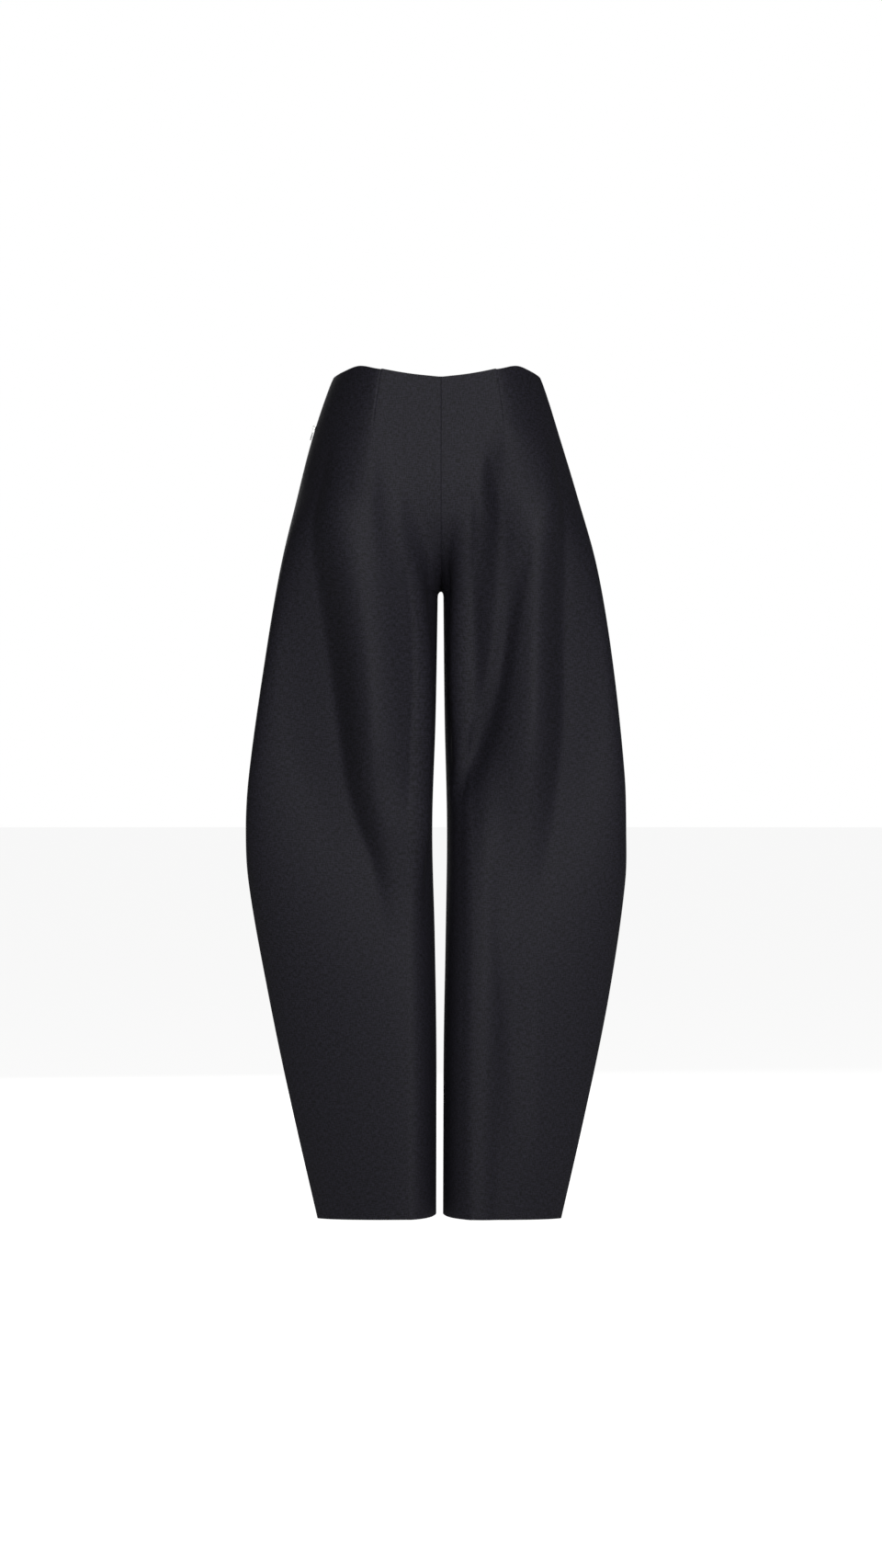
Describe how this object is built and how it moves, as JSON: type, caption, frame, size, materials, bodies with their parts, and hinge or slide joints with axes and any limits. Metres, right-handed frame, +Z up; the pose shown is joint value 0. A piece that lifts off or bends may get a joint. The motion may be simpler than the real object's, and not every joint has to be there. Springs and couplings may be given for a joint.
{
  "type": "barrel leg trousers",
  "caption": "High-waisted black wool trousers with curved barrel legs that narrow to a plain hem, darted front and a concealed side zip, hollow as worn.",
  "frame": {"origin": "middle of the waist opening, level with the centre front of the waist edge, where the wearer's waist holds the trousers", "axes": "+Z up out of the waist opening along the length of the trousers, front faces -Y, +X to the wearer's left"},
  "size_m": [0.4679, 0.2461, 1.0436],
  "materials": {
    "wool": "heavy black wool in a fine plain weave, matt with a faint sheen",
    "zip_tape": "black woven polyester tape",
    "zip_metal": "nickel-plated zinc, smooth"
  },
  "bodies": {
    "trousers": {"front_right": "wool", "front_left": "wool", "back_right": "wool", "back_left": "wool", "zip_tape_front": "zip_tape", "zip_tape_back": "zip_tape", "zip_slider": "zip_metal"},
    "zip_pull": {"zip_pull": "zip_metal"}
  },
  "joints": [
    {"name": "pull_hinge", "type": "hinge", "parent": "trousers", "child": "zip_pull", "pos_m": [-0.15598, 0.00344, -0.05552], "axis": [0, 1, 0], "range_deg": [0, 150]}
  ]
}
